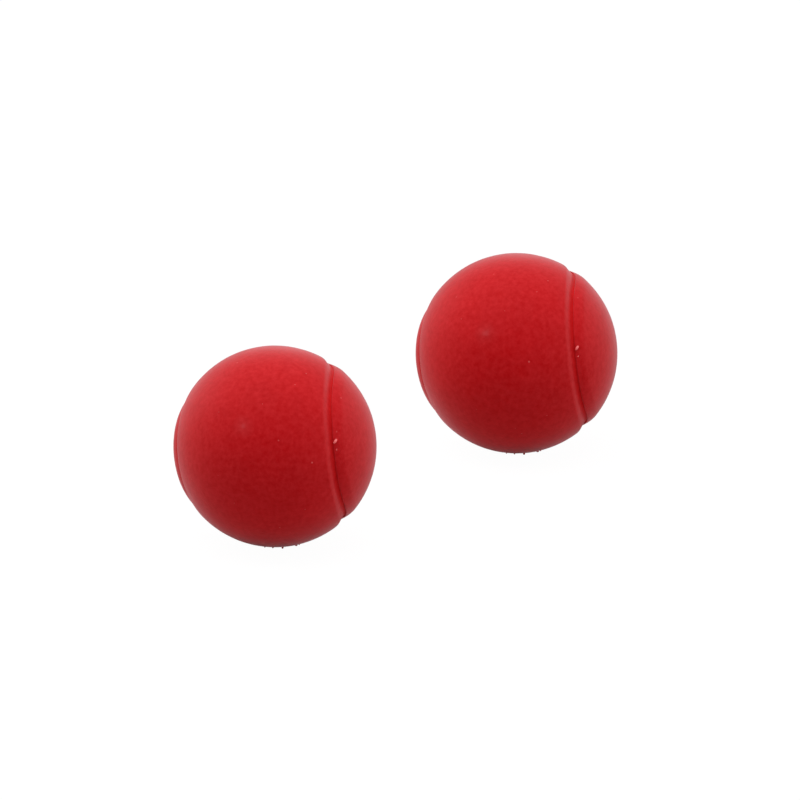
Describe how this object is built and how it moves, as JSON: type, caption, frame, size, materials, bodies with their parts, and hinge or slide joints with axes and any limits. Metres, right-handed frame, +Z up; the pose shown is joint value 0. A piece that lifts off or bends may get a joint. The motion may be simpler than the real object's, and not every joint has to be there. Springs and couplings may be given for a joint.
{
  "type": "pair of juggling balls",
  "caption": "Loose rubber balls for juggling and ball tricks, each with a tennis-ball seam groove between two raised red cover panels over a hollow core.",
  "frame": {"origin": "on the ground, midway between the two balls", "axes": "+Z up, +X to the right along the front view, +Y towards the back; the left ball lies at -X -Y and the right ball at +X +Y"},
  "size_m": [0.1434, 0.1532, 0.0648],
  "materials": {
    "cover_rubber": "satin moulded rubber",
    "seam_rubber": "glossy cured rubber cement",
    "core_rubber": "matt moulded rubber",
    "joint_rubber": "dull cured gum rubber"
  },
  "bodies": {
    "left_ball": {"left_front_panel": "cover_rubber", "left_back_panel": "cover_rubber", "left_seam_bead": "seam_rubber", "left_core_front_half": "core_rubber", "left_core_back_half": "core_rubber", "left_core_joint": "joint_rubber"},
    "right_ball": {"right_front_panel": "cover_rubber", "right_back_panel": "cover_rubber", "right_seam_bead": "seam_rubber", "right_core_front_half": "core_rubber", "right_core_back_half": "core_rubber", "right_core_joint": "joint_rubber"}
  },
  "joints": [
    {"name": "right_ball_lift", "type": "slide", "parent": "left_ball", "child": "right_ball", "axis": [0, 0, 1], "range_m": [0, 0.075]}
  ]
}
